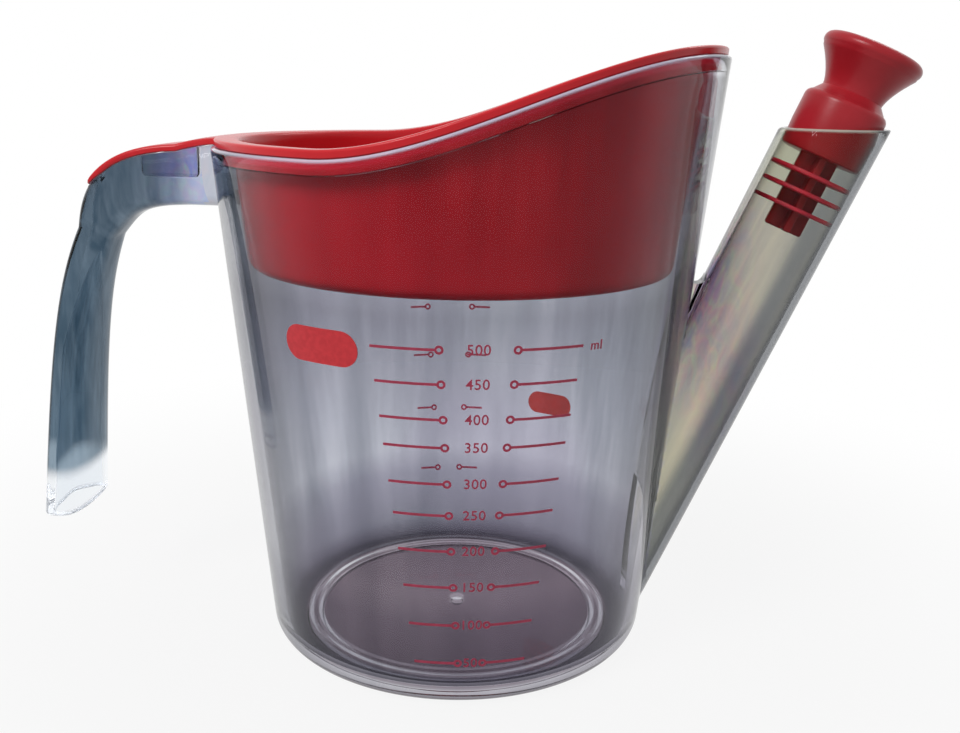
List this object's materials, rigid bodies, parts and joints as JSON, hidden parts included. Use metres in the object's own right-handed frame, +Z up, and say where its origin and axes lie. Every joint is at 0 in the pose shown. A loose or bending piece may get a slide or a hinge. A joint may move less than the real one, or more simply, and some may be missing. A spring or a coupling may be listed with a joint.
{
  "type": "fat separator jug",
  "caption": "Clear measuring jug with a pouring spout that starts at the floor, a lift-off strainer lid and a stopper in the spout.",
  "frame": {"origin": "on the jug's axis, on the table it stands on", "axes": "+Z up, +X towards the spout, -X towards the handle, -Y towards the millilitre scale"},
  "size_m": [0.1939, 0.1088, 0.1372],
  "materials": {
    "clear_body": "clear, lightly grey tinted, polished moulding",
    "scale_ink": "thin printed ink, slightly glossy",
    "label_ink": "thin printed ink, slightly glossy",
    "lid_red": "polished moulding",
    "stopper_red": "smooth silicone, satin"
  },
  "bodies": {
    "jug": {"vessel": "clear_body", "spout": "clear_body", "handle": "clear_body", "ml_scale_print": "scale_ink", "front_label_print": "label_ink", "back_scale_print": "scale_ink", "back_label_print": "label_ink"},
    "lid": {"lid_band": "lid_red", "strainer_bowl": "lid_red", "strainer_plate": "lid_red"},
    "stopper": {"stopper_grip": "stopper_red", "stopper_stem": "stopper_red", "stopper_fins": "stopper_red"}
  },
  "joints": [
    {"name": "lid_lift", "type": "slide", "parent": "jug", "child": "lid", "axis": [0, 0, 1], "range_m": [0, 0.06]},
    {"name": "stopper_pull", "type": "slide", "parent": "jug", "child": "stopper", "axis": [0.3859, 0, 0.9225], "range_m": [0, 0.045]}
  ]
}
